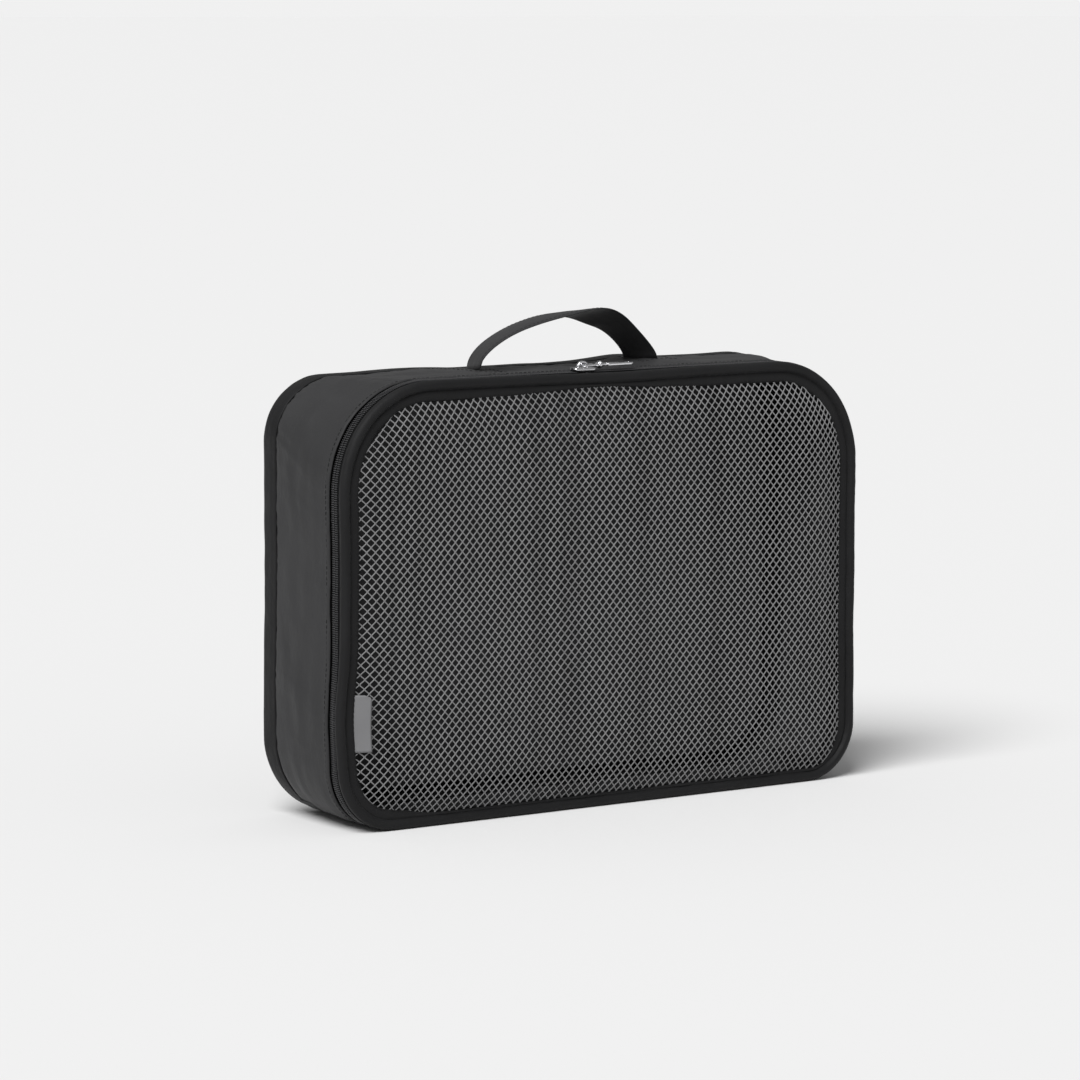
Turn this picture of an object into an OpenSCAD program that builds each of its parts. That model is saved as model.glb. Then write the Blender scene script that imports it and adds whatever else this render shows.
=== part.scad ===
// Packing cube: a soft zipped case that stands on its long edge.
// The net front is a lid on a cloth hinge, closed by one zip that runs round three sides.
// Origin: middle of the base. +X to the right, +Y to the back, +Z up. The net front faces -Y.

/* [Case] */
// Width of the case, side to side
case_w = 360; // [320:5:400]
// Height of the case as it stands
case_h = 250; // [230:5:280]
// Depth of the case, front to back
case_d = 85; // [80:1:120]
// Outer radius of the two top corners
top_corner = 50; // [45:1:60]
// Outer radius of the two bottom corners
bottom_corner = 38; // [34:1:42]
// Thickness of the nylon, with its coating and seams
cloth = 0.8; // [0.6:0.1:1]

/* [Seams] */
// Radius of the rolled edge round the net front
front_roll_r = 3.2; // [2.8:0.1:3.6]
// Radius of the bound edge round the back
back_roll_r = 4.5; // [4:0.1:5]
// How far one sewn piece reaches into the next
seam_bite = 0.6; // [0.4:0.1:0.8]
// Thickness of the binding tape inside the seams
binding_t = 0.8; // [0.5:0.1:1]
// Width of the flat cloth border between rolled edge and net
border_w = 6; // [4:0.5:9]

/* [Panels] */
// How far the net swells forward in the middle
net_swell = 2.2; // [1:0.1:2.8]
// How far the back panel swells in the middle
back_swell = 3.6; // [1:0.1:4]

/* [Zip] */
// Distance of the zip's middle behind the front of the case
zip_back = 9.5; // [9.3:0.1:10.5]
// Width of one row of coil
coil_w = 2.3; // [2:0.1:2.4]
// Height of the coil above its tape
coil_h = 1.5; // [1.2:0.1:1.6]
// Gap between the two rows of coil
coil_gap = 1.2; // [1:0.1:1.4]
// Thickness of the zip tape
tape_t = 0.5; // [0.4:0.1:0.6]
// How far the tape lies below the outside of the case
tape_depth = 1.2; // [1.2:0.1:1.4]
// Distance of the gusset's folded edge behind the front of the case
fold_back = 16.5; // [15:0.5:20]
// Angle round each bottom corner at which the zip ends
zip_end_angle = 60; // [50:1:64]

/* [Slider] */
// Length of the slider
slider_l = 14; // [12:0.5:15]
// Width of the slider across its nose
slider_w = 9; // [8:0.5:9.5]
// Place of the slider along the top, from the middle
slider_x = -13; // [-60:1:60]
// Thickness of the slider's plates
plate_t = 1.2; // [1:0.1:1.4]
// Length of the pull from its pivot to its tip
pull_l = 35; // [30:1:40]
// Width of the pull's flat tab
tab_w = 5; // [4:0.5:6]

/* [Handle] */
// Distance between the handle's two feet
handle_span = 116; // [100:2:140]
// Height of the handle above the case
handle_rise = 34; // [28:1:40]
// Width of the handle's webbing
handle_w = 28; // [24:1:30]
// Thickness of the webbing
webbing_t = 1.6; // [1.2:0.1:2]
// How far the handle's top leans to the right
handle_lean = 15; // [0:1:18]
// Distance of the handle's middle behind the middle of the case
handle_y = 8; // [4:1:10]

/* [Label] */
// Height of the blank side label
label_h = 32; // [20:1:40]
// How far the label stands out from the border
label_out = 10.5; // [6:0.5:12]
// Height of the label's lower edge above the base
label_z = 46; // [42:1:120]

/* [Hidden] */
$fn = 48;

running_gap = 0.3;
front_y = -case_d / 2 + front_roll_r;
back_y = case_d / 2 - back_roll_r;
zip_y = -case_d / 2 + zip_back;
fold_y = -case_d / 2 + fold_back;
coil_lid_y = zip_y - coil_gap / 2 - coil_w;
coil_case_y = zip_y + coil_gap / 2;
coil_inset = tape_depth - coil_h;
window_inset = 2 * front_roll_r + border_w;
border_inset = 2 * front_roll_r - 1;
net_inset = 2 * front_roll_r + seam_bite;
tape_hidden = 5.5;
hem_w = 6;
zip_end_x = case_w / 2 - bottom_corner * (1 - cos(zip_end_angle));
zip_end_z = bottom_corner * (1 - sin(zip_end_angle));
hinge_x = zip_end_x - 6;
gusset_front = front_y + sqrt(pow(front_roll_r, 2) - pow(front_roll_r - cloth, 2)) + running_gap;
gusset_back = back_y - sqrt(pow(back_roll_r, 2) - pow(back_roll_r - cloth, 2)) + seam_bite;
leg_h = 10.5;
pivot_r = 0.8;
plate_z = case_h - coil_inset + running_gap;
pivot_z = plate_z + plate_t + 0.5 + pivot_r;

// ---------- outline of the case ----------

// Corner arcs of the outline: centre x, centre z, radius and start angle
function corner_arcs(inset) = [
  [case_w / 2 - top_corner, case_h - top_corner, top_corner - inset, 0],
  [-case_w / 2 + top_corner, case_h - top_corner, top_corner - inset, 90],
  [-case_w / 2 + bottom_corner, bottom_corner, bottom_corner - inset, 180],
  [case_w / 2 - bottom_corner, bottom_corner, bottom_corner - inset, 270]
];

// The outline at an inset, as a flat shape with true arcs
module outline(inset) {
  half_w = case_w / 2 - inset;
  for (arc = corner_arcs(inset)) translate([arc[0], arc[1]]) circle(r = arc[2]);
  translate([-half_w, bottom_corner])
    square([2 * half_w, case_h - top_corner - bottom_corner]);
  translate([-(case_w / 2 - top_corner), case_h / 2])
    square([case_w - 2 * top_corner, case_h / 2 - inset]);
  translate([-(case_w / 2 - bottom_corner), inset])
    square([case_w - 2 * bottom_corner, case_h / 2]);
}

// A flat band that follows the outline between two insets
module band(outer, inner) {
  difference() {
    outline(outer);
    outline(inner);
  }
}

// Gives a flat shape drawn in X and Z its depth from y0 to y1
module between(y0, y1) {
  translate([0, y1, 0]) rotate([90, 0, 0]) linear_extrude(y1 - y0) children();
}

// Below the ends of the zip, out to a distance either side of the middle
module foot_zone(reach) {
  translate([-reach, -2]) square([2 * reach, bottom_corner / 2]);
}

// The stretch of a band that the zip follows: both sides, the top and all four corners
module zip_run(outer, inner) {
  difference() {
    band(outer, inner);
    foot_zone(zip_end_x);
  }
}

// A round edge that follows the outline
module rolled_edge(r, y) {
  side = case_w / 2 - r;
  for (arc = corner_arcs(r))
    translate([arc[0], y, arc[1]]) rotate([90, 0, 0]) rotate([0, 0, arc[3]])
      rotate_extrude(angle = 90) translate([arc[2], 0]) circle(r = r);
  for (x = [-side, side])
    translate([x, y, bottom_corner]) cylinder(r = r, h = case_h - top_corner - bottom_corner);
  translate([-(case_w / 2 - top_corner), y, case_h - r]) rotate([0, 90, 0])
    cylinder(r = r, h = case_w - 2 * top_corner);
  translate([-(case_w / 2 - bottom_corner), y, r]) rotate([0, 90, 0])
    cylinder(r = r, h = case_w - 2 * bottom_corner);
}

// Joins rings of points, each with the same count, into one closed solid
module skin(rings) {
  m = len(rings[0]);
  last = (len(rings) - 1) * m;
  walls = [
    for (k = [0:len(rings) - 2], i = [0:m - 1])
      let (a = k * m + i, b = k * m + (i + 1) % m)
        each [[a, a + m, b + m], [a, b + m, b]]
  ];
  polyhedron(
    points = [for (ring = rings) each ring],
    faces = concat([[for (i = [0:m - 1]) i]], walls, [[for (i = [m - 1:-1:0]) last + i]])
  );
}

// One ring of the outline: inset, then shrunk about its middle, and set at a depth
function outline_ring(inset, size, y, steps = 8) = [
  for (arc = corner_arcs(inset), k = [0:steps])
    let (a = arc[3] + 90 * k / steps, x = arc[0] + arc[2] * cos(a), z = arc[1] + arc[2] * sin(a))
      [x * size, y, case_h / 2 + (z - case_h / 2) * size]
];

// Rings of a swollen face, from the edge to the middle
function swollen_face(inset, y, swell, rings = 6) = [
  for (k = [0:rings])
    let (size = 1 - 0.94 * k / rings)
      outline_ring(inset, size, y + swell * (1 - size * size))
];

function reversed(list) = [for (i = [len(list) - 1:-1:0]) list[i]];

// ---------- case ----------

module side_gusset() {
  color("#3f3f42") {
    between(fold_y, gusset_back) zip_run(0, cloth);
    between(fold_y, fold_y + hem_w) zip_run(cloth, tape_depth);
  }
}

module bottom_gusset() {
  color("#3f3f42") {
    between(fold_y, gusset_back) intersection() {
      band(0, cloth);
      foot_zone(zip_end_x);
    }
    between(gusset_front, fold_y) intersection() {
      band(0, cloth);
      foot_zone(hinge_x);
    }
  }
}

module back_panel() {
  back_edge = 2 * back_roll_r - seam_bite;
  color("#38383b")
    skin(concat(
      reversed(swollen_face(back_edge, back_y + cloth / 2, back_swell)),
      swollen_face(back_edge, back_y - cloth / 2, back_swell)
    ));
}

module back_piping() {
  color("#19191b") rolled_edge(back_roll_r, back_y);
}

module back_seam_tape() {
  color("#19191b") between(back_y - 11, back_y - 3.8) band(cloth, cloth + binding_t);
}

// Binding over the seam where the side gusset meets the bottom gusset
module gusset_seam_tape(side) {
  color("#19191b") between(fold_y + hem_w + 1, back_y - 11.5) intersection() {
    band(cloth, cloth + binding_t);
    translate([side * zip_end_x - 5, 0]) square([10, bottom_corner / 2]);
  }
}

module zip_tape_case() {
  color("#232326")
    between(coil_case_y, fold_y + tape_hidden) zip_run(tape_depth, tape_depth + tape_t);
}

module zip_coil_case() {
  color("#303033") between(coil_case_y, coil_case_y + coil_w) zip_run(coil_inset, tape_depth);
}

// Folded cloth that covers one end of the zip
module zip_end_tab(side) {
  tab = zip_end_x - hinge_x - 2 * running_gap;
  color("#2b2b2e") between(front_y + front_roll_r, fold_y - running_gap) intersection() {
    band(-0.5, tape_depth + tape_t);
    translate([side * (hinge_x + zip_end_x) / 2 - tab / 2, 0]) square([tab, bottom_corner / 2]);
  }
}

// Stiffening patch inside the top, under one foot of the handle
module handle_patch(side) {
  patch = [26, handle_w + 6, binding_t];
  color("#232326")
    translate([side * handle_span / 2, handle_y, case_h - cloth - patch[2] / 2])
      cube(patch, center = true);
}

// ---------- handle ----------

// Middle of the webbing at u, from 0 at the left foot to 1 at the right foot
function handle_point(u) = [
  handle_span * (u - 0.5) + handle_lean * pow(sin(180 * u), 2),
  case_h + handle_rise * pow(sin(180 * u), 0.8) - webbing_t / 2
];

// Direction square to the webbing at u
function handle_normal(u) =
  let (d = handle_point(min(1, u + 0.01)) - handle_point(max(0, u - 0.01)))
    [-d[1], d[0]] / norm(d);

module whole_handle() {
  stations = 28;
  skin([
    for (k = [0:stations])
      let (u = k / stations, p = handle_point(u), n = handle_normal(u) * webbing_t / 2)
        [
          for (c = [[-1, -1], [1, -1], [1, 1], [-1, 1]])
            [p[0] + n[0] * c[1], handle_y + c[0] * handle_w / 2, p[1] + n[1] * c[1]]
        ]
  ]);
}

// The part of the handle that tilts, above its two legs
module handle_strap() {
  color("#202022") intersection() {
    whole_handle();
    translate([-case_w / 2, -case_d / 2, case_h + leg_h]) cube([case_w, case_d, 2 * handle_rise]);
  }
}

// One leg of the handle, which bends as the strap tilts
module handle_leg(side) {
  color("#202022") intersection() {
    whole_handle();
    translate([side < 0 ? -case_w / 2 : 0, -case_d / 2, case_h])
      cube([case_w / 2, case_d, leg_h]);
  }
}

// ---------- lid ----------

module front_piping() {
  color("#19191b") rolled_edge(front_roll_r, front_y);
}

module lid_border() {
  color("#232326") between(front_y - cloth, front_y) band(border_inset, window_inset);
}

module net_panel() {
  color("#6a6a6c")
    skin(concat(
      reversed(swollen_face(window_inset, front_y + cloth, -net_swell)),
      [outline_ring(net_inset, 1, front_y + cloth), outline_ring(net_inset, 1, front_y)],
      swollen_face(window_inset, front_y, -net_swell)
    ));
}

module lid_seam_tape() {
  color("#19191b")
    between(front_y + cloth, front_y + cloth + 3)
      band(2 * front_roll_r, 2 * front_roll_r + binding_t);
}

module zip_tape_lid() {
  tape_start = front_y + sqrt(pow(front_roll_r, 2) - pow(front_roll_r - tape_depth, 2)) - seam_bite;
  color("#232326")
    between(tape_start, zip_y - coil_gap / 2) zip_run(tape_depth, tape_depth + tape_t);
}

module zip_coil_lid() {
  color("#303033") between(coil_lid_y, coil_lid_y + coil_w) zip_run(coil_inset, tape_depth);
}

// Blank folded label that stands out from the border, over the net
module label_tab() {
  root_x = -case_w / 2 + window_inset - 2.5;
  tip_x = -case_w / 2 + window_inset + label_out;
  face_y = front_y - cloth;
  tip_y = -case_d / 2;
  corner = 3.5;
  color("#77777a") intersection() {
    translate([0, 0, label_z]) linear_extrude(label_h)
      polygon([
        [root_x, face_y], [root_x, face_y - 0.6],
        [tip_x, tip_y], [tip_x, tip_y + 0.6], [root_x + 2.5, face_y]
      ]);
    between(-case_d, 0) {
      translate([root_x, label_z]) square([tip_x - root_x - corner, label_h]);
      translate([root_x, label_z]) square([tip_x - root_x, label_h - corner]);
      translate([tip_x - corner, label_z + label_h - corner]) circle(r = corner);
    }
  }
}

// ---------- slider and pull ----------

// Outline of a slider plate: broad at the nose, narrower at the tail
module plate_outline(width) {
  hull() for (end = [[-1, 0.72], [1, 1]], side = [-1, 1])
    translate([end[0] * (slider_l / 2 - 2), side * (width * end[1] / 2 - 2)]) circle(r = 2, $fn = 24);
}

module slider_body() {
  lower_w = 2 * coil_w + coil_gap - 0.2;
  lower_top = case_h - tape_depth - tape_t - running_gap;
  post_w = coil_gap - 2 * running_gap;
  lip = 0.7;
  bridge_r = 3.9;
  color("#b9b9bc") translate([slider_x, zip_y, 0]) {
    translate([0, 0, plate_z]) linear_extrude(plate_t) plate_outline(slider_w);
    translate([0, 0, plate_z - lip]) linear_extrude(lip) difference() {
      plate_outline(slider_w);
      square([2 * slider_l, slider_w * 0.72 - 0.6], center = true);
    }
    translate([0, 0, lower_top - plate_t]) linear_extrude(plate_t) plate_outline(lower_w);
    translate([slider_l / 2 - 4.5, -post_w / 2, lower_top - plate_t / 2])
      cube([3.5, post_w, plate_z - lower_top + plate_t]);
    translate([0, 0, plate_z + plate_t]) rotate([90, 0, 0])
      rotate_extrude(angle = 180) translate([bridge_r - 1.2, -1.1]) square([1.2, 2.2]);
  }
}

module puller() {
  eye_w = 6.4;
  wire = 1.4;
  collar_x = 12;
  tab_start = 16;
  color("#c4c4c7") translate([slider_x, zip_y, pivot_z]) {
    rotate([90, 0, 0]) cylinder(r = pivot_r, h = eye_w, center = true);
    for (side = [-1, 1])
      translate([0, side * (eye_w - wire) / 2, 0]) rotate([0, 90, 0]) {
        cylinder(r = wire / 2, h = collar_x - 3.5);
        sphere(r = wire / 2);
      }
    translate([collar_x - 3.5, 0, 0]) rotate([90, 0, 0])
      cylinder(r = wire / 2, h = eye_w, center = true);
    translate([collar_x - 3.5, 0, 0]) rotate([0, 90, 0]) cylinder(r = 1.1, h = tab_start - collar_x + 5);
    translate([collar_x, 0, 0]) rotate([0, 90, 0])
      rotate_extrude() {
        translate([0, -1.6]) square([1.6, 3.2]);
        translate([1.3, 0]) circle(r = 1);
      }
    difference() {
      translate([0, 0, -0.7]) linear_extrude(1.4) {
        translate([tab_start + tab_w / 2, 0]) circle(d = tab_w);
        translate([tab_start + tab_w / 2, -tab_w / 2])
          square([pull_l - tab_start - tab_w, tab_w]);
        translate([pull_l - tab_w / 2, 0]) circle(d = tab_w);
      }
      translate([pull_l - 4.8, 0, -1]) linear_extrude(2) {
        circle(d = 1.6);
        translate([0, -0.8]) square([2.2, 1.6]);
        translate([2.2, 0]) circle(d = 1.6);
      }
    }
  }
}

side_gusset();
bottom_gusset();
back_panel();
back_piping();
back_seam_tape();
gusset_seam_tape(-1);  // gusset_seam_tape_left
gusset_seam_tape(1);  // gusset_seam_tape_right
zip_tape_case();
zip_coil_case();
zip_end_tab(-1);  // zip_end_tab_left
zip_end_tab(1);  // zip_end_tab_right
handle_leg(-1);  // handle_leg_left
handle_leg(1);  // handle_leg_right
handle_patch(-1);  // handle_patch_left
handle_patch(1);  // handle_patch_right
handle_strap();
front_piping();
lid_border();
net_panel();
lid_seam_tape();
zip_tape_lid();
zip_coil_lid();
label_tab();
slider_body();
puller();
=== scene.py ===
"""Looks of a soft zipped packing cube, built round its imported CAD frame.

The frame gives every place and size. Cloth pieces follow two soft outlines, one at the
front and one at the back of the cube, and are lofted, swept or repeated along them.
"""

from __future__ import annotations

import logging
import math
from dataclasses import dataclass, field
from enum import Enum
from typing import Callable, NamedTuple, Sequence

import bmesh
import bpy
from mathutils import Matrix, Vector, noise

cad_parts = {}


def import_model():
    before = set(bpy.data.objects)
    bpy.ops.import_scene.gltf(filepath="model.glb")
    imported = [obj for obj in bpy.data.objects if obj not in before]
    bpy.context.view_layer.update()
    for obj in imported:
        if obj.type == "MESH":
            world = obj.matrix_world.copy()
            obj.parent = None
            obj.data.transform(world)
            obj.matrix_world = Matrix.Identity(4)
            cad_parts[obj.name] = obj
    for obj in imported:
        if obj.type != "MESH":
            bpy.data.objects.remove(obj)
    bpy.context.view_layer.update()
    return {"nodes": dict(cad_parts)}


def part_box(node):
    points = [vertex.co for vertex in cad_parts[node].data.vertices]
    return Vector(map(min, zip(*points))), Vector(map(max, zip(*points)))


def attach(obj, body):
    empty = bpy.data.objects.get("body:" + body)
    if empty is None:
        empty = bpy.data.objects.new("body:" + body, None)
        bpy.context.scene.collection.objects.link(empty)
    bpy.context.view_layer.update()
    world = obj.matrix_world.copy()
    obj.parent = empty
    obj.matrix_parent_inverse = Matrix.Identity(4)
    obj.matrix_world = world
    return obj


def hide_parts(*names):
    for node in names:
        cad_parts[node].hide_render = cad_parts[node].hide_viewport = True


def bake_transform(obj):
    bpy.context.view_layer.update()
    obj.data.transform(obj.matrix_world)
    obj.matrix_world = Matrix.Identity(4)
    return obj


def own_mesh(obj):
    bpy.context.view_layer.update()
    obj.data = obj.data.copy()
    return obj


LOG = logging.getLogger("packing_cube")
MM = 0.001
Point2 = tuple[float, float]
Section = list[Point2]
Colour = tuple[float, float, float]


class Body(Enum):
    """The CAD bodies that pieces ride on."""

    CASE = "case"
    LID = "lid"
    SLIDER = "slider"
    PULL = "pull"
    HANDLE = "handle"


class Slot(Enum):
    """The cube's material slots."""

    NYLON = "nylon"
    BINDING = "binding"
    WEBBING = "webbing"
    NET = "net"
    ZIP_TAPE = "zip_tape"
    ZIP_COIL = "zip_coil"
    LABEL = "label"
    METAL = "slider_metal"


class Side(Enum):
    """Straight runs and corners of an outline, in the order that it is walked."""

    BOTTOM_RIGHT_RUN = 0
    BOTTOM_RIGHT_CORNER = 1
    RIGHT_RUN = 2
    TOP_RIGHT_CORNER = 3
    TOP_RUN = 4
    TOP_LEFT_CORNER = 5
    LEFT_RUN = 6
    BOTTOM_LEFT_CORNER = 7
    BOTTOM_LEFT_RUN = 8


class Station(NamedTuple):
    """A place along an outline: which side, and how far along it from 0 to 1."""

    side: Side
    share: float


def smooth_step(low: float, high: float, value: float) -> float:
    """Returns 0 before low and 1 after high, with a smooth rise between."""
    share = min(1.0, max(0.0, (value - low) / (high - low)))
    return share * share * (3.0 - 2.0 * share)


def bell(value: float, centre: float, width: float) -> float:
    """Returns a bump that is 1 at centre and fades over width."""
    return math.exp(-(((value - centre) / width) ** 2))


def ripple(x: float, y: float, z: float, scale: float, seed: float = 0.0) -> float:
    """Returns smooth noise between about -1 and 1 at a point.

    Args:
        x: Place in metres along the first axis.
        y: Place in metres along the second axis.
        z: Place in metres along the third axis.
        scale: Size of one ripple in metres.
        seed: Shifts the pattern, so that pieces differ.

    Returns:
        The noise value.
    """
    return noise.noise(Vector((x / scale + seed, y / scale - seed, z / scale + 0.37 * seed)))


# ---------------------------------------------------------------- outlines


@dataclass(frozen=True)
class Outline:
    """A rounded rectangle in X and Z that stands on the base.

    Attributes:
        width: Whole width in metres.
        height: Whole height in metres.
        top_radius: Radius of the two top corners.
        bottom_radius: Radius of the two bottom corners.
    """

    width: float
    height: float
    top_radius: float
    bottom_radius: float

    def place(self, station: Station, inset: float = 0.0) -> tuple[float, float, float, float]:
        """Finds a point on the outline.

        Args:
            station: Where along the outline.
            inset: How far the point lies inside the outline, in metres.

        Returns:
            The point's x and z, and the outward direction's x and z.
        """
        half = self.width / 2
        top, low = self.top_radius, self.bottom_radius
        share = station.share
        corners = {
            Side.BOTTOM_RIGHT_CORNER: (half - low, low, low, -90.0),
            Side.TOP_RIGHT_CORNER: (half - top, self.height - top, top, 0.0),
            Side.TOP_LEFT_CORNER: (top - half, self.height - top, top, 90.0),
            Side.BOTTOM_LEFT_CORNER: (low - half, low, low, 180.0),
        }
        if station.side in corners:
            x, z, radius, start = corners[station.side]
            angle = math.radians(start + 90.0 * share)
            nx, nz = math.cos(angle), math.sin(angle)
            return x + (radius - inset) * nx, z + (radius - inset) * nz, nx, nz
        if station.side is Side.BOTTOM_RIGHT_RUN:
            return (half - low) * share, inset, 0.0, -1.0
        if station.side is Side.BOTTOM_LEFT_RUN:
            return (low - half) * (1 - share), inset, 0.0, -1.0
        if station.side is Side.TOP_RUN:
            return (half - top) * (1 - 2 * share), self.height - inset, 0.0, 1.0
        rise = low + (self.height - top - low) * share
        if station.side is Side.RIGHT_RUN:
            return half - inset, rise, 1.0, 0.0
        fall = self.height - top - (self.height - top - low) * share
        return inset - half, fall, -1.0, 0.0

    def depth(self, x: float, z: float) -> float:
        """Returns how far a point lies inside the outline, in metres."""
        radius = self.top_radius if z > self.height / 2 else self.bottom_radius
        across = abs(x) - (self.width / 2 - radius)
        up = abs(z - self.height / 2) - (self.height / 2 - radius)
        outside = math.hypot(max(across, 0.0), max(up, 0.0))
        return radius - outside - min(max(across, up), 0.0)

    def side_length(self, side: Side) -> float:
        """Returns the length of one side at no inset."""
        if side in (Side.BOTTOM_RIGHT_CORNER, Side.BOTTOM_LEFT_CORNER):
            return self.bottom_radius * math.pi / 2
        if side in (Side.TOP_RIGHT_CORNER, Side.TOP_LEFT_CORNER):
            return self.top_radius * math.pi / 2
        if side is Side.TOP_RUN:
            return self.width - 2 * self.top_radius
        if side in (Side.RIGHT_RUN, Side.LEFT_RUN):
            return self.height - self.top_radius - self.bottom_radius
        return self.width / 2 - self.bottom_radius

    def stations(self, spacing: float) -> list[Station]:
        """Returns stations all the way round, about one spacing apart."""
        found: list[Station] = []
        for side in Side:
            count = max(2, round(self.side_length(side) / spacing))
            found.extend(Station(side, k / count) for k in range(count))
        return found


@dataclass(frozen=True)
class SoftForm:
    """How the cloth settles away from the CAD's straight lines.

    Attributes:
        sag_x: Where along the top the front edge dips.
        sag_width: How wide the dip is.
        sag_depth: How deep the dip is.
        bow_z: Height at which the lower left of the front bows out.
        bow_width: How tall the bow is.
        bow_out: How far it bows.
        lift_x: Where the cloth is pulled up beside the handle's right foot.
        lift_width: How wide the lift is.
        lift_height: How high the lift is.
        sway: How far the sides and the back of the top wander.
    """

    sag_x: float = 0.006
    sag_width: float = 0.046
    sag_depth: float = 0.0010
    bow_z: float = 0.062
    bow_width: float = 0.034
    bow_out: float = 0.0038
    lift_x: float = 0.064
    lift_width: float = 0.019
    lift_height: float = 0.0022
    sway: float = 0.0009

    def shift(self, x: float, y: float, z: float, front_y: float) -> Vector:
        """Returns how far the settled cloth lies from its straight place.

        Args:
            x: Place across the cube.
            y: Place from front to back.
            z: Height.
            front_y: Place of the front edge.

        Returns:
            The shift, which fades out a few millimetres behind the front edge.
        """
        front = 1.0 - smooth_step(front_y + 1.5 * MM, front_y + 6 * MM, y)
        dip = self.sag_depth * bell(x, self.sag_x, self.sag_width) * smooth_step(0.19, 0.245, z)
        left = smooth_step(-0.13, -0.168, x)
        bow = self.bow_out * bell(z, self.bow_z, self.bow_width) * left
        lift = self.lift_height * bell(x, self.lift_x, self.lift_width) * smooth_step(0.2, 0.245, z)
        lift += self.sway * ripple(x, y * 0.5, 0.0, 0.038, 1.3) * smooth_step(0.2, 0.245, z)
        lift *= smooth_step(front_y + 12 * MM, front_y + 30 * MM, y)
        side = math.copysign(smooth_step(0.15, 0.178, abs(x)) * smooth_step(0.02, 0.05, z), x)
        out = self.sway * ripple(0.0, y * 0.6, z, 0.036, 3.9) * side
        return Vector((out - bow * (0.45 + 0.55 * front), 0.0, lift - dip * front))


# ---------------------------------------------------------------- mesh building


def object_from(name: str, data: bpy.types.ID) -> bpy.types.Object:
    """Links a new object that shows a mesh, a camera or a light."""
    made = bpy.data.objects.new(name, data)
    bpy.context.scene.collection.objects.link(made)
    return made


def face_outwards(mesh: bpy.types.Mesh) -> None:
    """Merges doubled points and turns a closed mesh's faces outwards."""
    work = bmesh.new()
    work.from_mesh(mesh)
    bmesh.ops.remove_doubles(work, verts=work.verts, dist=0.00001)
    bmesh.ops.recalc_face_normals(work, faces=work.faces)
    if work.calc_volume(signed=True) < 0:
        bmesh.ops.reverse_faces(work, faces=work.faces)
    work.to_mesh(mesh)
    work.free()


def loft(
    name: str, rings: Sequence[Sequence[Vector]], path_closed: bool = True
) -> bpy.types.Object:
    """Joins closed sections along a path into one closed solid with a UV map in metres.

    Args:
        name: The new object's name.
        rings: Sections with the same number of points each.
        path_closed: Whether the last section joins the first.

    Returns:
        The new object, smooth shaded.
    """
    count, size = len(rings), len(rings[0])
    along, across = [0.0], [0.0]
    for k in range(count):
        along.append(along[-1] + (rings[(k + 1) % count][0] - rings[k][0]).length)
    for i in range(size):
        across.append(across[-1] + (rings[0][(i + 1) % size] - rings[0][i]).length)
    faces: list[tuple[int, ...]] = []
    places: list[Point2] = []
    for k in range(count if path_closed else count - 1):
        for i in range(size):
            k2, i2 = (k + 1) % count, (i + 1) % size
            faces.append((k * size + i, k2 * size + i, k2 * size + i2, k * size + i2))
            places.extend(
                [
                    (along[k], across[i]),
                    (along[k + 1], across[i]),
                    (along[k + 1], across[i + 1]),
                    (along[k], across[i + 1]),
                ]
            )
    if not path_closed:
        for cap in (range(size), range((count - 1) * size, count * size)):
            faces.append(tuple(cap))
            places.extend((0.0, across[i]) for i in range(size))
    mesh = bpy.data.meshes.new(name)
    mesh.from_pydata([tuple(p) for ring in rings for p in ring], [], faces)
    layer = mesh.uv_layers.new(name="UVMap")
    layer.data.foreach_set("uv", [value for pair in places for value in pair])
    face_outwards(mesh)
    mesh.polygons.foreach_set("use_smooth", [True] * len(mesh.polygons))
    return object_from(name, mesh)


def thick(line: Section, thickness: float) -> Section:
    """Gives an open section line its thickness.

    Args:
        line: Points as inset and y.
        thickness: Thickness in metres, to the left of the line as it is walked.

    Returns:
        A closed section.
    """
    inner: Section = []
    for i, (a, b) in enumerate(line):
        before, after = line[max(0, i - 1)], line[min(len(line) - 1, i + 1)]
        da, db = after[0] - before[0], after[1] - before[1]
        size = math.hypot(da, db) or 1.0
        inner.append((a - db / size * thickness, b + da / size * thickness))
    return line + inner[::-1]


def spindle(name: str, stops: Sequence[Point2], axis: int) -> bpy.types.Object:
    """Builds a small round solid along one axis.

    Args:
        name: The new object's name.
        stops: Place along the axis and radius of each section.
        axis: 0 for X, 1 for Y.

    Returns:
        The new object, to be copied and then removed.
    """
    sides = 6
    rings: list[list[Vector]] = []
    for place, radius in stops:
        ring: list[Vector] = []
        for k in range(sides):
            angle = 2 * math.pi * k / sides
            spot = [radius * math.cos(angle), radius * math.sin(angle)]
            spot.insert(axis, place)
            ring.append(Vector(spot))
        rings.append(ring)
    return loft(name, rings, path_closed=False)


def polyline(
    name: str, lines: Sequence[Sequence[Vector]], closed: bool = False
) -> bpy.types.Object:
    """Makes an object of bare edges, for a node tree to repeat things along."""
    points: list[Vector] = []
    edges: list[tuple[int, int]] = []
    for line in lines:
        start = len(points)
        points.extend(line)
        edges.extend((start + k, start + k + 1) for k in range(len(line) - 1))
        if closed:
            edges.append((start + len(line) - 1, start))
    mesh = bpy.data.meshes.new(name)
    mesh.from_pydata([tuple(p) for p in points], edges, [])
    return object_from(name, mesh)


# ---------------------------------------------------------------- node trees


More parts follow.
